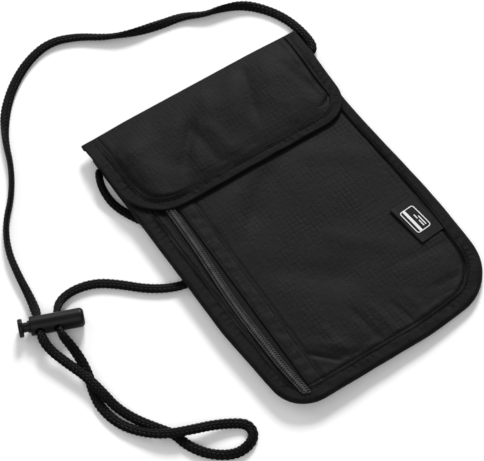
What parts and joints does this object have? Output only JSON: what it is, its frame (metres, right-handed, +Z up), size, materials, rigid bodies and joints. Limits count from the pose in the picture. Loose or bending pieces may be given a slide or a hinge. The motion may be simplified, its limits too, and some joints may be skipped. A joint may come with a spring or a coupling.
{
  "type": "neck pouch wallet",
  "caption": "Flat fabric travel pouch worn round the neck, with a hook-and-loop flap, a zipped pocket, and a braided cord with a sprung cord lock.",
  "frame": {"origin": "on the surface that the pouch lies on, under the middle of the pouch's own box (the cord and its lock left out)", "axes": "+X to the pouch's right as its front is seen, +Y up the pouch to the fold of its flap, +Z up out of its front; the pouch lies on its back"},
  "size_m": [0.2326, 0.2736, 0.0124],
  "materials": {
    "shell_fabric": "near-black ripstop nylon, matt, with a faint grid of thicker threads",
    "lining_fabric": "thin plain-woven nylon, near-black",
    "film": "thin metallised film between the back layers",
    "binding_tape": "black woven binding tape with a slight sheen",
    "zip_tape": "black woven zip tape",
    "zip_coil": "black nylon coil",
    "zip_metal": "black-painted die-cast zinc",
    "touch_tape": "black hook-and-loop tape",
    "label": "small woven label in dark grey, with no words",
    "cord": "black hollow braided cord, slightly glossy",
    "lock_plastic": "glossy black moulded plastic",
    "spring_steel": "bright spring wire",
    "thread": "black sewing thread"
  },
  "bodies": {
    "pouch": {"back_panel": "shell_fabric", "rfid_film": "film", "back_lining": "lining_fabric", "pocket_divider": "lining_fabric", "zip_side_strip": "shell_fabric", "front_panel": "shell_fabric", "body_binding": "binding_tape", "mouth_binding": "binding_tape", "loop_tape": "touch_tape", "side_label": "label", "cord_bartack_left": "thread", "cord_bartack_right": "thread", "zip_tape_left": "zip_tape", "zip_tape_right": "zip_tape", "zip_coil_left": "zip_coil", "zip_coil_right": "zip_coil", "zip_placket": "shell_fabric", "cord_lock_barrel": "lock_plastic", "cord_lock_spring": "spring_steel", "neck_cord": "cord"},
    "flap": {"flap_shell": "shell_fabric", "flap_lining": "lining_fabric", "flap_binding": "binding_tape", "hook_tape": "touch_tape"},
    "slider": {"zip_slider": "zip_metal"},
    "pull": {"zip_pull": "zip_metal"},
    "plunger": {"cord_lock_plunger": "lock_plastic"}
  },
  "joints": [
    {"name": "flap_fold", "type": "hinge", "parent": "pouch", "child": "flap", "pos_m": [-0.00001, 0.0986, 0.00411], "axis": [-0.9995, 0, 0.0314], "range_deg": [0, 150]},
    {"name": "zip_slide", "type": "slide", "parent": "pouch", "child": "slider", "axis": [-0.0204, -0.9998, 0.0006], "range_m": [0, 0.144]},
    {"name": "zip_pull_swing", "type": "hinge", "parent": "slider", "child": "pull", "pos_m": [-0.05238, 0.06949, 0.00954], "axis": [-0.9993, 0.0204, 0.0314], "range_deg": [0, 2]},
    {"name": "cord_lock_press", "type": "slide", "parent": "pouch", "child": "plunger", "axis": [0.9245, -0.3811, 0], "range_m": [0, 0.0028], "stiffness_N_per_m": 900, "springref_m": -0.003, "deforming": ["cord_lock_spring"]}
  ]
}
